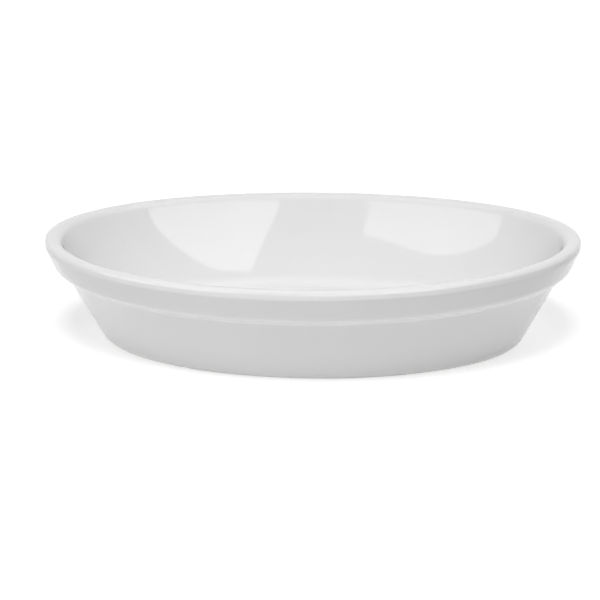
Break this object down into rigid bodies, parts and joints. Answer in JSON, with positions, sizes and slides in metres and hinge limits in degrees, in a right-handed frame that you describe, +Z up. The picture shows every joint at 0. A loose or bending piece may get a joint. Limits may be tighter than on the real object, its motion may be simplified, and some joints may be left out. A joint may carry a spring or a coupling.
{
  "type": "oval gratin dish",
  "caption": "Oval glazed ovenware dish with a thick collar round the rim, a tapering wall and a flat foot ring, for baking and serving a gratin.",
  "frame": {"origin": "on the surface that the dish stands on, under the middle of the dish", "axes": "+X along the oval, +Y across it, +Z up out of the bowl"},
  "size_m": [0.2, 0.145, 0.0399],
  "materials": {
    "fired_clay": "matt, bare fired clay",
    "white_glaze": "glossy"
  },
  "bodies": {
    "root": {"clay_body": "fired_clay", "glaze_coat": "white_glaze", "underside_glaze": "white_glaze"}
  },
  "joints": []
}
